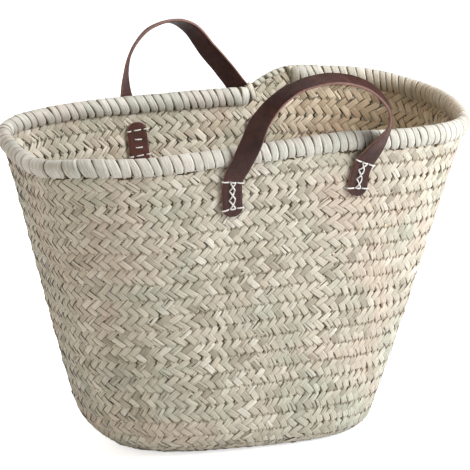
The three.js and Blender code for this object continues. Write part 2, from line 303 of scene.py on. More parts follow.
# Strips of one face of the weave. place turns band, column, row and height into points
def leafStrips(centres, place, inner, random):
    alongShare, alongBeyond = np.array(leafForm["along"], float).T
    across = np.array(leafForm["across"]) * weave["leafWidth"]
    alongHeight = np.array(leafForm["alongHeight"])
    acrossHeight = np.array(leafForm["acrossHeight"])
    mirrored = -1 if inner else 1
    points, marks, tints = [], [], []
    for band, column, row, rising, widthShare, offset, tint, pitch in centres:
        n = len(column)
        heading = np.arcsin(np.clip(weave["leafSpacing"] / pitch, 0.52, 0.83))
        seen = weave["rowPitch"] / 4 / np.sin(heading) * random.uniform(0.95, 1.04, n)
        heading = heading + random.normal(0, 0.045, n)
        column = column + random.normal(0, 0.035, n)
        row = row + random.normal(0, 0.014, n)
        tilt = random.normal(0.03, 0.1, n)
        lift = random.normal(0, 0.18, n)
        curl = random.normal(0, 0.12, n)
        l = (seen[:, None] * alongShare + alongBeyond)[:, :, None] * mirrored
        w = across[None, None, :] * widthShare[:, None, None] + offset[:, None, None]
        l, w = np.broadcast_arrays(l, w)
        angle = heading[:, None, None]
        rise = np.where(rising, 1.0, -1.0)[:, None, None]
        bow = curl[:, None, None] * (1 - (l / 7) ** 2)
        x = l * np.cos(angle) + (w + bow) * np.sin(angle)
        y = rise * (l * np.sin(angle) - (w + bow) * np.cos(angle))
        height = alongHeight[None, :, None] + acrossHeight[None, None, :]
        onTop = np.clip(1.6 - np.abs(l) / 5, 0, 1)
        height = height + lift[:, None, None] + tilt[:, None, None] * w * onTop
        columns = column[:, None, None] + x / pitch[:, None, None]
        rows = row[:, None, None] - y / weave["rowPitch"]
        points.append(place(band, columns, rows, height).reshape(-1, 3))
        seeds = np.broadcast_to(random.uniform(0, 100, n)[:, None, None], l.shape)
        side = w / (widthShare[:, None, None] * weave["leafWidth"])
        marks.append(np.stack([l, w, seeds], -1).reshape(-1, 3))
        tints.append(np.broadcast_to(tint[:, None, None], l.shape).reshape(-1))
    points, marks, tints = np.concatenate(points), np.concatenate(marks), np.concatenate(tints)
    one = tubeFaces(len(alongShare), len(across))
    pointsEach = len(alongShare) * len(across)
    faces = facedOutward(points, repeatFaces(one, len(points) // pointsEach, pointsEach), len(one))
    return points, faces, {"leafPlace": marks, "leafTint": tints}


# Centres of the leaves of one band: a rising row over a falling one, or the other way inside
def bandCentres(band, bandMap, inner, keep, random):
    found = []
    count, wide, _, widePitch = bandMap
    for half in (0, 1):
        column = np.arange(count) + 0.5 * half if not inner else np.arange(count) + 0.5 * (1 - half)
        row = np.full(count, band + 0.25 + 0.5 * half)
        rising = np.full(count, (half == 0) != inner)
        kept = keep(column, row)
        column, row, rising = column[kept], row[kept], rising[kept]
        n = len(column)
        tint = random.uniform(0, 1, n)
        split = random.uniform(0, 1, n) < 0.1
        width = random.uniform(0.9, 1.03, n)
        pitch = np.interp(column, wide, widePitch)
        share = random.uniform(0.35, 0.6, n)
        whole = ~split
        found.append((band, column[whole], row[whole], rising[whole], width[whole],
                      np.zeros(whole.sum()), tint[whole], pitch[whole]))
        for side in (-1, 1):
            part = share[split] if side < 0 else 1 - share[split]
            rest = (1 - part) * weave["leafWidth"] / 2
            found.append((band, column[split], row[split], rising[split], part * 0.94, side * rest,
                          np.clip(tint[split] + 0.25 * side, 0, 1), pitch[split]))
    return [group for group in found if len(group[1])]


sewnSpots = [(-51, -1), (82, -1), (-66.5, 1), (61.8, 1)]  # place along the length, front or back


# 1 under a sewn strap end or patch, where the stitches press the weave flat
def pressed(points):
    x, y, z = points[..., 0], points[..., 1], points[..., 2]
    share = np.zeros(x.shape)
    for middle, facing in sewnSpots:
        near = np.clip((16 - np.abs(x - middle)) / 3, 0, 1) * np.clip((z - 244) / 4, 0, 1)
        share = np.maximum(share, near * (np.sign(y) == facing))
    return share


# Rounding of each band of the plait over its height, with a crease at each row line
def bandBulge(row):
    part = np.mod(row, 1)
    weight = np.where(np.mod(np.floor(row), 2) < 1, 1.0, 0.8)
    return weave["bulge"] * weight * (np.sin(math.pi * part) ** 0.55 + 0.25 * part * (1 - part ** 6)) - 0.7


def wallStrips(inner):
    random = np.random.default_rng(weave["seed"] + inner)
    bands = list(range(-2, 22))
    maps = bandMaps(bands)

    def turnOf(band, columns):
        return np.interp(columns, maps[band][1], maps[band][2])

    def place(band, columns, rows, height):
        turn = turnOf(band, columns)
        way = rowWay(turn, rows)
        radius = fromLeftToRight(basket["lowerEdgeRadius"], turn)
        way = np.where(isBare(turn), np.minimum(way, rimTop(turn) - radius - 1), way)
        sink = weave["sink"]
        depth = basket["wallThickness"] - sink if inner else sink
        point, normal = wallPath(turn, way, depth)
        if inner:
            normal = -normal
        press = pressed(point)
        proud = height + bandBulge(rows) * (0.6 if inner else 1)
        proud = np.where(press > 0, np.minimum(proud, mix(proud, 0.55, press)), proud)
        if not inner:
            near = np.clip((way + radius - rollBottom(turn)) / 2.5 + 2.15, 0, 1) * ~isBare(turn)
            proud = proud - near * (1.0 + 0.8 * np.sin(columns * 1.7) * np.sin(columns * 0.53 + 1))
        point = point + normal * proud[..., None]
        point[..., 2] = np.maximum(point[..., 2], 0.05)
        return point

    centres = []
    for band in bands:

        def keep(column, row):
            turn = turnOf(band, column)
            way = rowWay(turn, row)
            radius = fromLeftToRight(basket["lowerEdgeRadius"], turn)
            top = np.where(isBare(turn), rimTop(turn) + 3, rollBottom(turn) + 6)
            return (way + radius < top) & (way > -radius * math.pi / 2 - 2)

        centres += bandCentres(band, maps[band], inner, keep, random)
    return leafStrips(centres, place, inner, random)


# Flat base: the outline of its level part shrinks towards a line along the middle
def basePoint(turn, share, height):
    radius = fromLeftToRight(basket["lowerEdgeRadius"], turn)
    point, _ = wallFrame(turn, height, radius)
    edge, _ = wallFrame(np.array([0.0, 90.0, 180.0]), 0, 30)
    middle = (edge[0, 0] + edge[2, 0]) / 2
    half = (edge[0, 0] - edge[2, 0]) / 2
    spine = point.copy()
    spine[..., 0] = middle + (point[..., 0] - middle) * (half - edge[1, 1]) / half
    spine[..., 1] = 0
    return mix(point, spine, np.asarray(share)[..., None])


def baseStrips(inner):
    random = np.random.default_rng(weave["seed"] + 5 + inner)
    turns = np.linspace(0, 360, 361)
    rows = weave["baseRows"]
    maps = {}
    for band in range(rows):
        points = basePoint(turns, np.full(turns.shape, (band + 0.5) / rows), 0)
        steps = np.linalg.norm(np.diff(points, axis=0), axis=1)
        ways = np.concatenate([[0], np.cumsum(steps)])
        count = int(round(ways[-1] / 9.6))
        maps[band] = columnMap(turns, count * ways / ways[-1], ways)

    def place(band, columns, rowsHere, height):
        turn = np.interp(columns, maps[band][1], maps[band][2])
        point = basePoint(turn, np.clip(rowsHere / rows, -0.06, 1), 0)
        level = basket["wallThickness"] - weave["sink"] + height if inner else 1.0 - height
        point[..., 2] = np.maximum(level, 0.05)
        return point

    centres = []
    for band in range(rows):
        centres += bandCentres(band, maps[band], inner, lambda column, row: row > -1, random)
    return leafStrips(centres, place, inner, random)


# Sheet of crossing leaves between the two faces of the weave, coloured near black as painted shade for the gaps
# between the leaves
def coreShell():
    turns = rim["firstTurn"] + np.arange(180) * 2.0
    radius = fromLeftToRight(basket["lowerEdgeRadius"], turns)

    def addSide(depth, height):
        side = [basePoint(turns, np.full(turns.shape, share), 0) for share in (1, 0.66, 0.33)]
        for ring in side:
            ring[:, 2] = height
        for share in np.linspace(0, 1, 6):
            side.append(wallPath(turns, -radius * math.pi / 2 * (1 - share), depth)[0])
        bare = turns > rim["lastTurn"]
        top = np.where(bare, rimTop(turns) - 1.5, rollBottom(turns) + 6) - radius
        for share in np.linspace(0, 1, 25)[1:]:
            side.append(wallPath(turns, top * share, depth)[0])
        return side

    rings = addSide(1.25, 1.25) + addSide(1.75, 1.75)[::-1]
    points = np.array(rings).reshape(-1, 3)
    faces = gridFaces(len(rings), len(turns), closedRows=True, closedColumns=True)
    return points, facedOutward(points, faces, len(faces))


def makePiece(name, points, faces, material, slot, marks=None, stands=()):
    mesh = bpy.data.meshes.new(name)
    mesh.from_pydata(((points + frameShift) / 1000).tolist(), [], faces.tolist())
    for mark, values in (marks or {}).items():
        kind = "FLOAT_VECTOR" if values.ndim == 2 else "FLOAT"
        attribute = mesh.attributes.new(mark, kind, "POINT")
        attribute.data.foreach_set("vector" if values.ndim == 2 else "value",
                                   values.astype(np.float32).ravel())
    mesh.polygons.foreach_set("use_smooth", np.ones(len(mesh.polygons), bool))
    mesh.materials.append(material)
    piece = bpy.data.objects.new(name, mesh)
    bpy.context.scene.collection.objects.link(piece)
    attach(piece, "root")
    if stands:
        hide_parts(*stands)
    return piece


# Leaf strips wound round the roll
def rollPath():
    turns = np.linspace(rim["firstTurn"], rim["lastTurn"], 1401)
    half = fromLeftToRight(rim["rollHeight"], turns) / 2
    centre, _ = wallFrame(turns, rimTop(turns) - half, rim["rollInset"])
    steps = np.linalg.norm(np.diff(centre, axis=0), axis=1)
    return turns, np.concatenate([[0], np.cumsum(steps)])


# How high and how thick the roll is near its two ends, as shares
def rollEnds(way, total):
    near = np.clip(np.minimum(way, total - way) / rim["endRounding"], 0, 1)
    grown = np.clip((total - way) / rim["endTaper"], 0, 1)
    return 0.45 + 0.55 * np.sqrt(1 - (1 - near) ** 2), 0.25 + 0.75 * np.sqrt(1 - (1 - grown) ** 2)


def rollPoint(turn, angle, lift, tail, high, thick):
    half = fromLeftToRight(rim["rollHeight"], turn) / 2
    centre, outward = wallFrame(turn, rimTop(turn) - half, rim["rollInset"])
    reach = (rim["rollThickness"] / 2 + lift) * np.minimum(high, thick)
    point = centre + outward * (reach * np.cos(angle))[..., None]
    point[..., 2] += (half + lift) * high * np.sin(angle) - tail
    return point


# How much the wraps drop and narrow at their ragged lower edges
def wrapTails(angle):
    drop, narrowing = np.zeros(angle.shape), np.zeros(angle.shape)
    for middle, depth, part in rim["tails"]:
        away = np.mod(np.degrees(angle) - middle + 180, 360) - 180
        near = np.exp(-((away / 22) ** 2))
        drop = np.maximum(drop, depth * near)
        narrowing = np.maximum(narrowing, part * near)
    return drop, narrowing


def rimWraps():
    random = np.random.default_rng(rim["seed"])
    turns, ways = rollPath()
    total = ways[-1]
    edges = [0.0]
    while edges[-1] < total - 6:
        width = smoothColumn(rim["wrapWidth"], np.interp(edges[-1], ways, turns))
        edges.append(edges[-1] + float(width) * random.uniform(0.8, 1.2))
    edges = np.array(edges) * total / edges[-1]
    count = len(edges) - 1
    angle = np.linspace(0, 2 * math.pi, 32, endpoint=False)
    across = np.array([0.0, 0.04, 0.2, 0.75, 0.95, 1.0])
    height = np.array([-0.8, -0.08, 0.1, 0.2, 0.06, -0.8]) + rim["lift"]
    w = across[None, None, :]
    a = angle[None, :, None]
    gap = rim["seamGap"] * random.uniform(0.3, 1.3, count)
    start, width = (edges[:-1] + gap / 2)[:, None, None], (np.diff(edges) - gap)[:, None, None]
    lean = smoothColumn(rim["seamLean"], np.interp(edges[:-1], ways, turns))
    lean = lean * random.uniform(0.7, 1.3, count)
    lean = (lean * np.clip((total - edges[1:]) / 12, 0, 1) * np.clip(edges[:-1] / 12, 0, 1))[:, None, None]
    tailDrop, narrowing = wrapTails(a)
    ragged = random.uniform(0.5, 1.3, count)[:, None, None]
    way = start + width * (0.5 + (w - 0.5) * (1 - narrowing * ragged)) - lean * np.sin(a)
    way = way + random.normal(0, 0.2, count)[:, None, None] * np.sin(2 * a + 1)
    turn = np.interp(np.clip(way, 0, total), ways, turns)
    lift = height[None, None, :] + random.normal(0, 0.1, count)[:, None, None] * (0.3 + w)
    lift = lift + 0.08 * np.sin(3 * a + random.uniform(0, 6, count)[:, None, None])
    a = np.broadcast_to(a, way.shape)
    tail = tailDrop * ragged
    points = rollPoint(turn, a, np.broadcast_to(lift, way.shape), tail, *rollEnds(way, total))
    one = gridFaces(len(angle), len(across), closedRows=True, closedColumns=True)
    faces = repeatFaces(one, count, len(angle) * len(across))
    place = np.stack(np.broadcast_arrays(a * 9, (w - 0.5) * 12, random.uniform(0, 100, count)[:, None, None]), -1)
    tint = np.broadcast_to(random.uniform(0, 1, count)[:, None, None], way.shape)
    return points.reshape(-1, 3), faces, {"leafPlace": place.reshape(-1, 3), "leafTint": tint.reshape(-1)}


fold = {
    "spacing": 7.8,
    "width": 9.6,
    "slant": -0.75,
    "shingle": 0.7,  # rise from one edge of a leaf to the other, in mm
    "section": [
        (1.5, -6.0), (2.2, -4.0), (2.2, -1.6), (1.4, 0.1), (0, 0.5),
        (-1.4, 0.1), (-2.2, -1.6), (-2.2, -4.0), (-1.5, -6.0),
    ],
}


# Short leaves folded over the bare edge of the plait, between the two ends of the roll
def foldedEdge():
    random = np.random.default_rng(rim["seed"] + 1)
    turns = np.linspace(rim["lastTurn"] - 6, rim["firstTurn"] + 361, 200)
    middle = basket["wallThickness"] / 2
    centre, _ = wallFrame(turns, rimTop(turns), middle)
    ways = np.concatenate([[0], np.cumsum(np.linalg.norm(np.diff(centre, axis=0), axis=1))])
    count = int(round(ways[-1] / fold["spacing"]))
    # distance out of the middle of the wall and up from its edge
    section = np.array(fold["section"])
    slope = np.gradient(section, axis=0)
    facing = np.stack([-slope[:, 1], slope[:, 0]], -1)
    facing /= np.linalg.norm(facing, axis=1, keepdims=True)
    side, up = section[None, :, None, 0], section[None, :, None, 1]
    across = np.array(leafForm["across"])[None, None, :]
    w = across * fold["width"]
    height = 0.5 * np.array(leafForm["acrossHeight"]) + fold["shingle"] * across[0, 0]
    height = height[None, None, :] * np.clip(np.abs(side) / 2, 0.25, 1) + random.normal(0, 0.08, count)[:, None, None]
    slant = random.normal(fold["slant"], 0.1, count)[:, None, None]
    reach = random.uniform(0.8, 1.1, count)[:, None, None]
    start = (np.arange(count) + 0.5) / count * ways[-1] + random.normal(0, 0.4, count)
    tieWay = np.interp(rim["lastTurn"], turns, ways) + 3
    tie = np.argmin(np.abs(start - tieWay))
    start[tie] = tieWay
    for tied, reached in ((tie, 2.4), (-1, 2.8)):
        slant[tied], reach[tied] = -0.35, reached
    start = start[:, None, None]
    up = np.where(up < 0, up * reach, up)
    way = start + w + slant * up * np.sign(side)
    turn = np.interp(way, ways, turns)
    point, outward = wallFrame(turn, rimTop(turn), middle)
    point = point + outward * (side * reach ** 0.4 + height * facing[None, :, None, 0])[..., None]
    point[..., 2] += up + height * facing[None, :, None, 1]
    along = np.concatenate([[0], np.cumsum(np.linalg.norm(np.diff(section, axis=0), axis=1))])
    seeds = random.uniform(0, 100, count)[:, None, None]
    place = np.stack(np.broadcast_arrays(along[None, :, None] - 9, across * weave["leafWidth"], seeds), -1)
    tint = np.broadcast_to(random.uniform(0.3, 1, count)[:, None, None], way.shape)
    one = tubeFaces(len(section), across.size)
    points = point.reshape(-1, 3)
    faces = facedOutward(points, repeatFaces(one, count, len(section) * across.size), len(one))
    return points, faces, {"leafPlace": place.reshape(-1, 3), "leafTint": tint.reshape(-1)}


# Core of the roll, in the same near-black painted-shade straw, seen between the wraps
def rimCore():
    turns, ways = rollPath()
    stations = np.linspace(1.5, ways[-1] - 1.5, 260)
    turn = np.interp(stations, ways, turns)[:, None]
    angle = np.linspace(0, 2 * math.pi, 14, endpoint=False)[None, :]
    turn, angle = np.broadcast_arrays(turn, angle)
    closing = np.sqrt(np.clip(np.minimum(stations, ways[-1] - stations) / 3, 0.01, 1))[:, None]
    high, thick = rollEnds(stations[:, None], ways[-1])
    points = rollPoint(turn, angle, np.full(turn.shape, -0.5), 0.0, high * closing, thick * closing)
    points = points.reshape(-1, 3)
    faces = tubeFaces(len(stations), 14)
    return points, facedOutward(points, faces, len(faces))


# Straps, along the same run as their solids
strap = {
    "width": 21,
    "thickness": 3.2,
    "rise": 63,
    "halfSpacing": 66.5,
    "lean": 16,
    "endRadius": 9,
    "clearance": 0.35,
    "stitchRows": [8, 17.2, 26.4, 35.6],  # along from the sewn end
    "stitchHalfSpacing": 3.0,
    "threadRadius": 0.72,
}

# side, up, over, lean and facing of each place, as in the frame's source
frontRun = [
    (-0.995, -1.12, 0, 0, 0), (-1.014, -0.55, 0.15, 0, 0), (-0.915, -0.254, 1, 0.12, 6),
    (-0.8, 0.044, 1, 0.28, 20), (-0.675, 0.373, 1, 0.45, 48), (-0.435, 0.687, 1, 0.6, 70),
    (-0.12, 0.905, 1, 0.8, 77), (0.417, 1.003, 1, 1, 75), (0.98, 0.82, 1, 0.95, 70),
    (1.3, 0.46, 1, 0.85, 65), (1.35, 0.18, 1, 0.7, 58), (1.27, -0.05, 1, 0.45, 38),
    (1.15, -0.27, 1, 0.2, 16), (1.036, -0.52, 0.15, 0, 0), (0.959, -0.984, 0, 0, 0),
]
backRun = [
    (-0.947, -1.095, 0.05, 0, 0), (-1, -0.52, 0.22, 0, 0), (-1.05, -0.206, 1, 0.25, 20),
    (-1.07, 0.05, 1, 0.5, 44), (-1.06, 0.35, 1, 0.6, 60), (-1, 0.635, 1, 0.65, 66),
    (-0.87, 0.873, 1, 0.7, 68), (-0.66, 1.07, 1, 0.75, 72), (-0.28, 1.163, 1, 0.8, 76),
    (0, 1.03, 1, 0.75, 58), (0.28, 0.65, 1, 0.6, 42), (0.49, 0.38, 1, 0.5, 38),
    (0.72, 0.05, 1, 0.4, 30), (0.87, -0.22, 1, 0.2, 14), (0.95, -0.52, 0.22, 0, 0),
    (0.9, -1.16, 0.05, 0, 0),
]


def turnAt(x, height, facing):
    near, far = 1.0, 179.0
    for _ in range(30):
        middle = (near + far) / 2
        if wallFrame(facing * middle, height, 0)[0][0] > x:
            near = middle
        else:
            far = middle
    return facing * (near + far) / 2


# Centripetal curve through the points, sampled finely, with the place of each sample
def smoothCurve(points, samples=60):
    points = np.array(points)
    ends = [2 * points[0] - points[1], 2 * points[-1] - points[-2]]
    held = np.vstack([ends[0], points, ends[1]])
    curve, places = [], []
    for i in range(len(points) - 1):
        p0, p1, p2, p3 = held[i:i + 4]
        d0, d1, d2 = (np.linalg.norm(b - a) ** 0.5 for a, b in ((p0, p1), (p1, p2), (p2, p3)))
        t1 = ((p1 - p0) / d0 - (p2 - p0) / (d0 + d1) + (p2 - p1) / d1) * d1
        t2 = ((p2 - p1) / d1 - (p3 - p1) / (d1 + d2) + (p3 - p2) / d2) * d1
        t = np.linspace(0, 1, samples, endpoint=i == len(points) - 2)[:, None]
        c2 = -3 * p1 + 3 * p2 - 2 * t1 - t2
        c3 = 2 * p1 - 2 * p2 + t1 + t2
        curve.append(p1 + t1 * t + c2 * t ** 2 + c3 * t ** 3)
        places.append(i + t[:, 0])
    return np.vstack(curve), np.concatenate(places)


def strapFrame(run, middle, facing):
    sections = []
    for side, up, over, lean, turned in run:
        x = middle + side * strap["halfSpacing"]
        height = basket["rimHeight"] + up * strap["rise"]
        level = min(height, basket["rimHeight"])
        proud = over * (rim["rollThickness"] / 2 - rim["rollInset"]) + lean * strap["lean"]
        point, outward = wallFrame(turnAt(x, level, facing), level,
                                   -(proud + strap["clearance"] + strap["thickness"] / 2))
        sections.append((np.array([point[0], point[1], height]), outward, math.radians(turned)))
    curve, places = smoothCurve([section[0] for section in sections])
    ways = np.concatenate([[0], np.cumsum(np.linalg.norm(np.diff(curve, axis=0), axis=1))])
    outwards = np.array([section[1] for section in sections])
    turneds = np.array([section[2] for section in sections])

    def at(way):
        way = np.asarray(way, float)
        place = np.interp(way, ways, places)
        point = np.stack([np.interp(way, ways, curve[:, k]) for k in range(3)], -1)
        ahead = np.stack([np.interp(way + 0.8, ways, curve[:, k]) for k in range(3)], -1)
        behind = np.stack([np.interp(way - 0.8, ways, curve[:, k]) for k in range(3)], -1)
        forward = ahead - behind
        forward /= np.linalg.norm(forward, axis=-1, keepdims=True)
        i = np.clip(place.astype(int), 0, len(sections) - 2)
        between = (place - i)[..., None]
        outward = mix(outwards[i], outwards[i + 1], between)
        outward -= forward * (outward * forward).sum(-1, keepdims=True)
        outward /= np.linalg.norm(outward, axis=-1, keepdims=True)
        away = np.cross(outward, forward) * -facing
        turned = mix(turneds[i], turneds[i + 1], between[..., 0])[..., None]
        face = outward * np.cos(turned) + away * np.sin(turned)
        return point, forward, face, np.cross(forward, face)

    return at, ways[-1]


def patchFrame(x, lean, drop, facing, length=48, thickness=2.6, gap=0.6):
    middle = basket["rimHeight"] - drop

    def at(way):
        way = np.atleast_1d(np.asarray(way, float))
        rows = []
        for w in way.ravel():
            pair = []
            for shift in (-0.8, 0, 0.8):
                height = middle + w + shift - length / 2
                turn = turnAt(x + lean * (height - middle), height, facing)
                inset = basket["wallThickness"] + gap + thickness / 2
                pair.append(wallFrame(turn, height, inset))
            forward = pair[2][0] - pair[0][0]
            forward /= np.linalg.norm(forward)
            face = -pair[1][1]
            face = face - forward * face.dot(forward)
            face /= np.linalg.norm(face)
            rows.append((pair[1][0], forward, face, np.cross(forward, face)))
        return tuple(np.array([row[k] for row in rows]) for k in range(4))

    return at, length


# Leather strip with rounded edges and round ends. The mark says how near a point is to the cut edge
def leatherStrip(at, length, width, thickness, dimples, random, step=1.1):
    radius = strap["endRadius"]
    arc = radius * (1 - np.cos(np.linspace(0.12, math.pi / 2, 8)))
    body = np.linspace(radius, length - radius, int(length / step))
    ways = np.concatenate([arc[:-1], body, length - arc[:-1][::-1]])
    near = np.minimum(ways, length - ways)
    flat = width / 2 - radius
    half = np.where(near >= radius, width / 2,
                    flat + np.sqrt(np.clip(radius ** 2 - (radius - near) ** 2, 0, None)))
    half = half + 0.12 * np.sin(ways / 9) + 0.08 * np.sin(ways / 3.7 + 1)
    # section: share across, share of the half thickness, and how much of it is cut edge
    side = [(-1, -0.42, 1), (-1.0, 0.0, 1), (-1, 0.42, 1), (-0.97, 0.8, 0.7), (-0.9, 0.97, 0.15)]
    top = [(s, 1, 0) for s in (-0.7, -0.45, -0.25, 0, 0.25, 0.45, 0.7)]
    upper = side + top + [(-s, u, e) for s, u, e in side[::-1]]
    lower = [(s, -u, e) for s, u, e in ([(0.97, 0.8, 0.7), (0.9, 0.97, 0.15)]
                                        + [(s, 1, 0) for s in (0.5, 0, -0.5)]
                                        + [(-0.9, 0.97, 0.15), (-0.97, 0.8, 0.7)])]
    section = np.array(upper + lower)
    point, forward, face, sideways = at(ways)
    across = section[None, :, 0] * half[:, None]
    up = np.broadcast_to(section[None, :, 1] * thickness / 2, across.shape).copy()
    isTop = (section[None, :, 1] > 0.9) & (np.arange(len(section)) < len(upper))[None, :]
    for way, acrossAt in dimples:
        away = np.hypot(ways[:, None] - way, across - acrossAt)
        up -= np.where(isTop, 0.55 * np.exp(-((away / 1.3) ** 2)), 0)
    up += np.where(isTop, 0.06 * np.sin(ways[:, None] / 5 + across), 0)
    points = point[:, None] + sideways[:, None] * across[..., None] + face[:, None] * up[..., None]
    points = points.reshape(-1, 3)
    faces = tubeFaces(len(ways), len(section))
    edge = np.broadcast_to(section[None, :, 2], across.shape)
    place = np.stack(np.broadcast_arrays(ways[:, None], across, up), -1)
    return (points, facedOutward(points, faces, len(faces)),
            {"cutEdge": edge.reshape(-1).copy(), "leatherPlace": place.reshape(-1, 3)})


# Short tubes of thread along paths of a few points
def threadTubes(paths, radius, sides=8):
    points, faces, marks = [], [], []
    start = 0
    for path in paths:
        path = np.array(path)
        forward = np.gradient(path, axis=0)
        forward /= np.linalg.norm(forward, axis=1, keepdims=True)
        helper = np.array([0.31, 0.2, 0.93])
        first = np.cross(forward, helper)
        first /= np.linalg.norm(first, axis=1, keepdims=True)
        second = np.cross(forward, first)
        angle = np.linspace(0, 2 * math.pi, sides, endpoint=False)
        ring = first[:, None] * np.cos(angle)[None, :, None] + second[:, None] * np.sin(angle)[None, :, None]
        points.append((path[:, None] + ring * radius).reshape(-1, 3))
        one = tubeFaces(len(path), sides)
        faces.append(facedOutward(points[-1], one, len(one)) + start)
        way = np.concatenate([[0], np.cumsum(np.linalg.norm(np.diff(path, axis=0), axis=1))])
        mark = np.stack(np.broadcast_arrays(way[:, None], angle[None, :], 0.0), -1)
        marks.append(mark.reshape(-1, 3))
        start += len(path) * sides
    return np.vstack(points), np.vstack(faces), {"threadPlace": np.vstack(marks)}


def stitchPath(at, begin, end, surface, lift=0.75, steps=9, sag=1.0):
    share = np.linspace(0, 1, steps)
    ways = mix(begin[0], end[0], share)
    across = mix(begin[1], end[1], share)
    up = surface - sag + (lift + sag) * np.clip(np.sin(share * math.pi) * 1.6, 0, 1)
    point, _, face, sideways = at(ways)
    return point + sideways * across[:, None] + face * up[:, None]


def crossStitches(at, length, fromEnd, random):
    top = strap["thickness"] / 2 + 0.1
    half, rows = strap["stitchHalfSpacing"], strap["stitchRows"]
    edge = strap["width"] / 2
    paths = []

    def way(row):
        return length - row if fromEnd else row

    def jitter():
        return random.normal(0, 0.25)

    for low, high in zip(rows[:-1], rows[1:]):
        paths.append(stitchPath(at, (way(low), -half + jitter()), (way(high), half + jitter()), top))
        paths.append(stitchPath(at, (way(low), half + jitter()), (way(high), -half + jitter()), top, 1.15))
    for row in (rows[0], rows[-1]):
        paths.append(stitchPath(at, (way(row), -half), (way(row), half), top, 0.9))
        for side in (-1, 1):
            slant = random.uniform(-0.8, 0.8)
            paths.append(stitchPath(at, (way(row), side * (half + 1.2)), (way(row) + slant, side * (edge + 1.0)),
                                    top, 0.5, sag=0.9))
    return paths


def patchStitches(at, random):
    top = 1.3 + 0.1
    half, edge = 4.0, strap["width"] / 2
    paths = []
    rows = [14, 22.5, 31, 40]
    for row in rows:
        paths.append(stitchPath(at, (row, -half), (row + random.normal(0, 0.3), half), top, 0.6))
    for row in (rows[0], rows[-1]):
        for side in (-1, 1):
            paths.append(stitchPath(at, (row, side * (edge - 3.6)), (row, side * (edge + 0.8)), top, 0.5, sag=0.9))
    return paths


def holePlaces(length, fromEnds):
    places = []
    for end in fromEnds:
        for row in strap["stitchRows"]:
            way = length - row if end else row
            places += [(way, -strap["stitchHalfSpacing"]), (way, strap["stitchHalfSpacing"])]
    return places


# Materials
def newGroup(name, inputs, outputs):
    group = bpy.data.node_groups.new(name, "ShaderNodeTree")
    for label, kind, value in inputs:
        socket = group.interface.new_socket(label, in_out="INPUT", socket_type=kind)
        if value is not None:
            socket.default_value = value
    for label, kind in outputs:
        group.interface.new_socket(label, in_out="OUTPUT", socket_type=kind)
    return group, group.nodes.new("NodeGroupInput"), group.nodes.new("NodeGroupOutput")


def link(tree, source, target):
    tree.links.new(source, target)


def mathNode(tree, operation, first, second=None, clamp=False):
    node = tree.nodes.new("ShaderNodeMath")
    node.operation = operation
    node.use_clamp = clamp
    for socket, value in zip(node.inputs, (first, second)):
        if value is None:
            continue
        if isinstance(value, (int, float)):
            socket.default_value = value
        else:
            tree.links.new(value, socket)
    return node.outputs[0]


def rangeNode(tree, value, low, high, toLow=0.0, toHigh=1.0):
    node = tree.nodes.new("ShaderNodeMapRange")
    node.interpolation_type = "SMOOTHSTEP"
    tree.links.new(value, node.inputs["Value"])
    for label, number in (("From Min", low), ("From Max", high), ("To Min", toLow), ("To Max", toHigh)):
        node.inputs[label].default_value = number
    return node.outputs["Result"]


def noiseNode(tree, vector, scale, detail=2.0, roughness=0.5):
    node = tree.nodes.new("ShaderNodeTexNoise")
    node.inputs["Scale"].default_value = scale
    node.inputs["Detail"].default_value = detail
    node.inputs["Roughness"].default_value = roughness
    if vector is not None:
        tree.links.new(vector, node.inputs["Vector"])
    return node.outputs["Fac"]


def partsOf(tree, vector):
    node = tree.nodes.new("ShaderNodeSeparateXYZ")
    tree.links.new(vector, node.inputs[0])
    return node.outputs


def mixColours(tree, factor, first, second, blend="MIX"):
    node = tree.nodes.new("ShaderNodeMix")
    node.data_type = "RGBA"
    node.blend_type = blend
    for socket, value in ((node.inputs[0], factor), (node.inputs[6], first), (node.inputs[7], second)):
        if isinstance(value, (int, float)):
            socket.default_value = value
        elif isinstance(value, tuple):
            socket.default_value = (*value, 1)
        else:
            tree.links.new(value, socket)
    return node.outputs[2]


def rampNode(tree, factor, stops):
    node = tree.nodes.new("ShaderNodeValToRGB")
    ramp = node.color_ramp
    while len(ramp.elements) < len(stops):
        ramp.elements.new(0.5)
    for element, (place, colour) in zip(ramp.elements, stops):
        element.position = place
        element.color = (*colour, 1)
    tree.links.new(factor, node.inputs[0])
    return node.outputs[0]


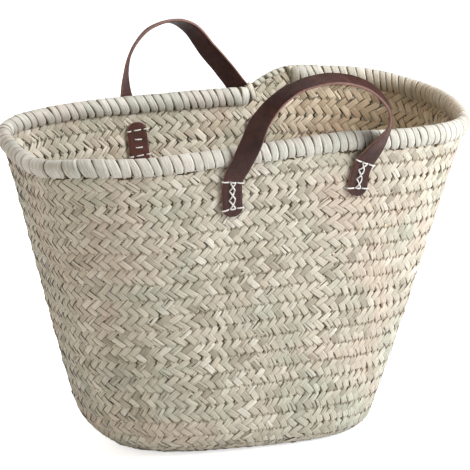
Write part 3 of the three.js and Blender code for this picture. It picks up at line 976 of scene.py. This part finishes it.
# Lengthwise fibres of a leaf: streaks for its colour and ridges for its relief, and a band along its edges for
# painted shade where neighbouring leaves overlap
def fibreGroup():
    group, source, sink = newGroup(
        "leafFibres",
        [("Place", "NodeSocketVector", None), ("Fineness", "NodeSocketFloat", 1.0),
         ("Half Width", "NodeSocketFloat", 3.0)],
        [("Streaks", "NodeSocketFloat"), ("Ridges", "NodeSocketFloat"), ("Edge Shade", "NodeSocketFloat")])
    stretch = group.nodes.new("ShaderNodeVectorMath")
    stretch.operation = "MULTIPLY"
    stretch.inputs[1].default_value = (0.045, 1.0, 1.0)
    link(group, source.outputs["Place"], stretch.inputs[0])
    scaled = group.nodes.new("ShaderNodeVectorMath")
    scaled.operation = "SCALE"
    link(group, stretch.outputs[0], scaled.inputs[0])
    link(group, source.outputs["Fineness"], scaled.inputs["Scale"])
    coarse = noiseNode(group, scaled.outputs[0], 0.9, 2)
    fine = noiseNode(group, scaled.outputs[0], 3.2, 2)
    link(group, mathNode(group, "ADD", mathNode(group, "MULTIPLY", coarse, 0.65),
                         mathNode(group, "MULTIPLY", fine, 0.35)), sink.inputs["Streaks"])
    link(group, fine, sink.inputs["Ridges"])
    parts = group.nodes.new("ShaderNodeSeparateXYZ")
    link(group, source.outputs["Place"], parts.inputs[0])
    # Edge Shade is painted shade: a narrow band along both edges of each leaf or wrap, standing in for the shadow
    # where neighbours overlap
    side = mathNode(group, "DIVIDE", mathNode(group, "ABSOLUTE", parts.outputs[1]), source.outputs["Half Width"])
    link(group, rangeNode(group, side, 0.77, 0.95), sink.inputs["Edge Shade"])
    return group


def attributeNode(tree, name, output):
    node = tree.nodes.new("ShaderNodeAttribute")
    node.attribute_name = name
    return node.outputs[output]


def newMaterial(name, finish):
    material = bpy.data.materials.new(name)
    material.use_nodes = True
    shader = material.node_tree.nodes["Principled BSDF"]
    for label, value in finish.items():
        shader.inputs[label].default_value = value
    return material, material.node_tree, shader


def addBump(tree, shader, height, strength, distance):
    bump = tree.nodes.new("ShaderNodeBump")
    bump.inputs["Strength"].default_value = strength
    bump.inputs["Distance"].default_value = distance
    link(tree, height, bump.inputs["Height"])
    link(tree, bump.outputs[0], shader.inputs["Normal"])


strawLooks = {
    "woven_straw": {
        "tones": [(0.0, (0.32, 0.28, 0.21)), (0.2, (0.47, 0.42, 0.33)), (0.6, (0.58, 0.53, 0.43)),
                  (0.85, (0.51, 0.45, 0.355)), (1.0, (0.68, 0.635, 0.54))],
        "green": (0.42, 0.43, 0.345),
        "pink": (0.56, 0.44, 0.35),
        "halfWidth": 3.55,
        "fineness": 1.0,
        "edgeShade": 0.85,
    },
    "inner_straw": {
        "tones": [(0.0, (0.46, 0.385, 0.29)), (0.35, (0.60, 0.525, 0.415)), (0.7, (0.67, 0.60, 0.485)),
                  (1.0, (0.74, 0.675, 0.565))],
        # painted shade: the inside darker and browner towards the right, where it lies in shade
        "shadedRight": (0.96, 0.845, 0.71),
        "green": (0.45, 0.44, 0.34),
        "pink": (0.54, 0.42, 0.33),
        "halfWidth": 3.55,
        "fineness": 1.0,
        "edgeShade": 0.85,
    },
    "rim_straw": {
        "tones": [(0.0, (0.50, 0.475, 0.41)), (0.4, (0.58, 0.55, 0.485)), (0.75, (0.64, 0.61, 0.545)),
                  (1.0, (0.54, 0.50, 0.43))],
        "green": (0.52, 0.52, 0.45),
        "pink": (0.60, 0.52, 0.45),
        # painted shade: the inward faces of the roll darker and browner towards the right, where they lie in shade
        "shadedInsideRight": (0.93, 0.84, 0.71),
        "halfWidth": 6.4,
        "fineness": 0.8,
        "edgeShade": 0.42,
    },
}


def strawMaterial(name, fibres):
    look = strawLooks[name]
    material, tree, shader = newMaterial(name, {"Roughness": 0.6, "Specular IOR Level": 0.3, "Sheen Weight": 0.12})
    place = attributeNode(tree, "leafPlace", "Vector")
    tint = attributeNode(tree, "leafTint", "Fac")
    group = tree.nodes.new("ShaderNodeGroup")
    group.node_tree = fibres
    group.inputs["Fineness"].default_value = look["fineness"]
    group.inputs["Half Width"].default_value = look["halfWidth"]
    link(tree, place, group.inputs["Place"])
    colour = rampNode(tree, tint, look["tones"])
    coordinates = tree.nodes.new("ShaderNodeTexCoord")
    where = coordinates.outputs["Object"]
    patches = noiseNode(tree, where, 14, 3, 0.6)
    colour = mixColours(tree, rangeNode(tree, patches, 0.48, 0.66, 0, 0.6), colour, look["green"])
    shift = tree.nodes.new("ShaderNodeVectorMath")
    shift.operation = "ADD"
    shift.inputs[1].default_value = (3.1, 1.7, 5.3)
    link(tree, where, shift.inputs[0])
    blush = noiseNode(tree, shift.outputs[0], 11, 3, 0.6)
    colour = mixColours(tree, rangeNode(tree, blush, 0.48, 0.64, 0, 0.6), colour, look["pink"])
    rightward = partsOf(tree, where)[0]
    # Painted shade: the inside darkened and browned towards the right, where it lies in shade
    if "shadedRight" in look:
        share = rangeNode(tree, rightward, 0.0, 0.2)
        colour = mixColours(tree, share, colour, look["shadedRight"], "MULTIPLY")
    # Painted shade: the roll's inward faces darkened and browned towards the right, where they lie in shade
    if "shadedInsideRight" in look:
        facing = rangeNode(tree, partsOf(tree, coordinates.outputs["Normal"])[0], -0.5, 0.0, 1, 0)
        share = mathNode(tree, "MULTIPLY", facing, rangeNode(tree, rightward, 0.06, 0.16))
        colour = mixColours(tree, share, colour, look["shadedInsideRight"], "MULTIPLY")
    streaks = rangeNode(tree, group.outputs["Streaks"], 0.3, 0.7, 0.72, 1.12)
    grey = tree.nodes.new("ShaderNodeCombineColor")
    for socket in grey.inputs:
        link(tree, streaks, socket)
    colour = mixColours(tree, 1.0, colour, grey.outputs[0], "MULTIPLY")
    # Painted shade: the leaf edges mixed towards near-black brown by the edge shade mask
    colour = mixColours(tree, mathNode(tree, "MULTIPLY", group.outputs["Edge Shade"], look["edgeShade"]), colour, (0.08, 0.056, 0.032))
    link(tree, colour, shader.inputs["Base Color"])
    link(tree, rangeNode(tree, group.outputs["Streaks"], 0.3, 0.7, 0.68, 0.5), shader.inputs["Roughness"])
    addBump(tree, shader, group.outputs["Ridges"], 0.35, 0.0006)
    return material


# Near-black straw for both cores: painted shade that shows in the gaps between leaves and wraps
def coreMaterial():
    material, tree, shader = newMaterial("shaded_straw", {"Roughness": 0.85, "Specular IOR Level": 0.1})
    where = tree.nodes.new("ShaderNodeTexCoord").outputs["Object"]
    shadeSpeckle = noiseNode(tree, where, 320, 2)
    link(tree, rampNode(tree, shadeSpeckle, [(0.3, (0.05, 0.036, 0.02)), (0.7, (0.16, 0.12, 0.07))]),
         shader.inputs["Base Color"])
    addBump(tree, shader, shadeSpeckle, 0.5, 0.001)
    return material


leatherLooks = {
    "handle_leather": {
        "dark": (0.026, 0.0085, 0.0065),
        "middle": (0.056, 0.019, 0.015),
        "worn": (0.115, 0.046, 0.036),
        "cut": (0.30, 0.16, 0.13),
        "grain": 700,
    },
    "patch_leather": {
        "dark": (0.044, 0.0135, 0.009),
        "middle": (0.095, 0.030, 0.021),
        "worn": (0.18, 0.068, 0.048),
        "cut": (0.30, 0.16, 0.13),
        "grain": 700,
    },
}


def leatherMaterial(name):
    look = leatherLooks[name]
    material, tree, shader = newMaterial(name, {"Roughness": 0.5, "Specular IOR Level": 0.3})
    where = tree.nodes.new("ShaderNodeTexCoord").outputs["Object"]
    mottle = noiseNode(tree, where, 60, 4, 0.6)
    colour = rampNode(tree, mottle, [(0.3, look["dark"]), (0.6, look["middle"]),
                                     (0.8, look["worn"])])
    edge = attributeNode(tree, "cutEdge", "Fac")
    frayed = mathNode(tree, "ADD", edge, mathNode(tree, "MULTIPLY", noiseNode(tree, where, 400, 3), 0.5))
    colour = mixColours(tree, rangeNode(tree, frayed, 0.75, 1.3, 0, 0.75), colour, look["cut"])
    scuffs = noiseNode(tree, where, 180, 5, 0.7)
    wear = mathNode(tree, "MULTIPLY", rangeNode(tree, scuffs, 0.55, 0.75), rangeNode(tree, edge, 0.0, 0.4, 0.35, 1))
    colour = mixColours(tree, mathNode(tree, "MULTIPLY", wear, 0.5), colour, look["worn"])
    link(tree, colour, shader.inputs["Base Color"])
    pores = tree.nodes.new("ShaderNodeTexVoronoi")
    pores.inputs["Scale"].default_value = look["grain"]
    link(tree, where, pores.inputs["Vector"])
    relief = mathNode(tree, "ADD", pores.outputs["Distance"], mathNode(tree, "MULTIPLY", scuffs, 0.8))
    link(tree, rangeNode(tree, scuffs, 0.3, 0.7, 0.42, 0.62), shader.inputs["Roughness"])
    addBump(tree, shader, relief, 0.35, 0.0006)
    return material


def threadMaterial():
    material, tree, shader = newMaterial("white_thread", {"Roughness": 0.7, "Sheen Weight": 0.3})
    place = attributeNode(tree, "threadPlace", "Vector")
    parts = tree.nodes.new("ShaderNodeSeparateXYZ")
    link(tree, place, parts.inputs[0])
    twist = mathNode(tree, "SINE", mathNode(tree, "ADD", mathNode(tree, "MULTIPLY", parts.outputs[0], 6.0),
                                            mathNode(tree, "MULTIPLY", parts.outputs[1], 2.0)))
    link(tree, rampNode(tree, rangeNode(tree, twist, -1, 1),
                        [(0.0, (0.60, 0.57, 0.52)), (1.0, (0.88, 0.86, 0.82))]), shader.inputs["Base Color"])
    addBump(tree, shader, twist, 0.5, 0.0003)
    return material


print("materials")
fibres = fibreGroup()
wovenStraw = strawMaterial("woven_straw", fibres)
innerStraw = strawMaterial("inner_straw", fibres)
rimStraw = strawMaterial("rim_straw", fibres)
shadedStraw = coreMaterial()
leather = leatherMaterial("handle_leather")
patchLeather = leatherMaterial("patch_leather")
thread = threadMaterial()


def partOf(points, faces, marks, chosen):
    used = np.unique(faces[chosen])
    renumber = np.full(len(points), -1)
    renumber[used] = np.arange(len(used))
    return points[used], renumber[faces[chosen]], {mark: values[used] for mark, values in marks.items()}


def makeHalves(name, points, faces, marks, material, slot):
    perLeaf = len(leafForm["along"]) * len(leafForm["across"])
    middles = points.reshape(-1, perLeaf, 3).mean(1)
    facesPerLeaf = len(faces) // len(middles)
    isFront = np.repeat(middles[:, 1] < 0, facesPerLeaf)
    for half, chosen in (("front", isFront), ("back", ~isFront)):
        makePiece(f"{name}_{half}", *partOf(points, faces, marks, chosen)[:2], material, slot,
                  partOf(points, faces, marks, chosen)[2])


print("weave")
points, faces = coreShell()
makePiece("weave_core", points, faces, shadedStraw, "woven_straw", stands=("basket_body",))
points, faces, marks = wallStrips(inner=False)
makeHalves("outer_weave", points, faces, marks, wovenStraw, "woven_straw")
points, faces, marks = wallStrips(inner=True)
makeHalves("inner_weave", points, faces, marks, innerStraw, "woven_straw")
points, faces, marks = baseStrips(inner=False)
makePiece("base_weave", points, faces, wovenStraw, "woven_straw", marks)
points, faces, marks = baseStrips(inner=True)
makePiece("floor_weave", points, faces, innerStraw, "woven_straw", marks)

print("rim")
points, faces = rimCore()
makePiece("rim_core", points, faces, shadedStraw, "rim_straw")
points, faces, marks = rimWraps()
makePiece("rim_wraps", points, faces, rimStraw, "rim_straw", marks, stands=("rim_binding",))
points, faces, marks = foldedEdge()
makePiece("folded_edge", points, faces, wovenStraw, "woven_straw", marks)

print("handles")
random = np.random.default_rng(23)
threads = []
for name, run, middle, facing in (("front", frontRun, 15.5, -1), ("back", backRun, 0, 1)):
    at, length = strapFrame(run, middle, facing)
    holes = holePlaces(length, (False, True))
    points, faces, marks = leatherStrip(at, length, strap["width"], strap["thickness"], holes, random)
    makePiece(f"{name}_strap", points, faces, leather, "handle_leather", marks, stands=(f"{name}_handle",))
    threads += crossStitches(at, length, False, random) + crossStitches(at, length, True, random)

patches = {
    "front_left": (-51, -0.02, 47, -1),
    "front_right": (82, 0.16, 47, -1),
    "back_left": (-66.5, -0.08, 47, 1),
    "back_right": (61.845, 0.14, 51, 1),
}
for name, (x, lean, drop, facing) in patches.items():
    at, length = patchFrame(x, lean, drop, facing)
    points, faces, marks = leatherStrip(at, length, strap["width"], 2.6, [], random, step=2.2)
    makePiece(f"{name}_patch", points, faces, patchLeather, "handle_leather", marks, stands=(f"{name}_backing",))
    threads += patchStitches(at, random)
points, faces, marks = threadTubes(threads, strap["threadRadius"])
makePiece("stitches", points, faces, thread, "handle_leather", marks)

print("floor, light and camera")


floorLook = {
    "colour": (0.93, 0.93, 0.93, 1),
    "glow": (0.7, 0.7, 0.7, 1),  # seen by the camera only, as on a lit white sweep
}


def floorMaterial():
    material, tree, shader = newMaterial("pale_floor", {"Roughness": 0.9, "Specular IOR Level": 0.1})
    shader.inputs["Base Color"].default_value = floorLook["colour"]
    shader.inputs["Emission Color"].default_value = floorLook["glow"]
    seen = tree.nodes.new("ShaderNodeLightPath").outputs["Is Camera Ray"]
    link(tree, seen, shader.inputs["Emission Strength"])
    return material


def addFloor():
    mesh = bpy.data.meshes.new("floor")
    mesh.from_pydata([(-9, -9, 0), (9, -9, 0), (9, 9, 0), (-9, 9, 0)], [], [(0, 1, 2, 3)])
    mesh.materials.append(floorMaterial())
    floor = bpy.data.objects.new("floor", mesh)
    bpy.context.scene.collection.objects.link(floor)


lights = {
    "near_right": {"place": (0.9, -0.75, 0.75), "size": 0.7, "power": 16.5, "colour": (0.95, 0.975, 1)},
    "far_right": {"place": (2.2, -1.5, 2.4), "size": 1.6, "power": 74, "colour": (0.95, 0.975, 1)},
    "overhead": {"place": (0.2, 0.2, 1.7), "size": 1.2, "power": 11, "colour": (1, 0.99, 0.97)},
    "left": {"place": (-1.3, -0.6, 0.8), "size": 1.0, "power": 7.4, "colour": (1, 0.92, 0.79)},
    "behind": {"place": (-0.7, 2.1, 0.8), "size": 1.2, "power": 22, "colour": (1, 0.99, 0.97)},
}

worldGlow = 0.04


def addLights():
    for name, light in lights.items():
        data = bpy.data.lights.new(name, "AREA")
        data.size = light["size"]
        data.energy = light["power"]
        data.color = light["colour"]
        lamp = bpy.data.objects.new(name, data)
        lamp.location = light["place"]
        aim = Vector((0, 0, 0.18)) - lamp.location
        lamp.rotation_mode = "QUATERNION"
        lamp.rotation_quaternion = aim.to_track_quat("-Z", "Y")
        bpy.context.scene.collection.objects.link(lamp)
    world = bpy.data.worlds.new("studio")
    world.use_nodes = True
    world.node_tree.nodes["Background"].inputs["Color"].default_value = (1, 1, 1, 1)
    world.node_tree.nodes["Background"].inputs["Strength"].default_value = worldGlow
    bpy.context.scene.world = world


view = {
    "azimuth": -21.71,
    "elevation": 14.62,
    "distance": 3.8224,
    "target": (-0.0062, -0.0015, 0.2030),
    "lens": 292.78,
}


def addCamera():
    data = bpy.data.cameras.new("camera")
    data.sensor_width = 36
    data.lens = view["lens"]
    data.clip_start, data.clip_end = 0.1, 60
    camera = bpy.data.objects.new("camera", data)
    a, e = math.radians(view["azimuth"]), math.radians(view["elevation"])
    back = Vector((math.sin(a) * math.cos(e), -math.cos(a) * math.cos(e), math.sin(e)))
    camera.location = Vector(view["target"]) + back * view["distance"]
    camera.rotation_mode = "QUATERNION"
    camera.rotation_quaternion = (-back).to_track_quat("-Z", "Y")
    bpy.context.scene.collection.objects.link(camera)
    bpy.context.scene.camera = camera


addFloor()
addLights()
addCamera()
bpy.context.scene.view_settings.view_transform = "Standard"
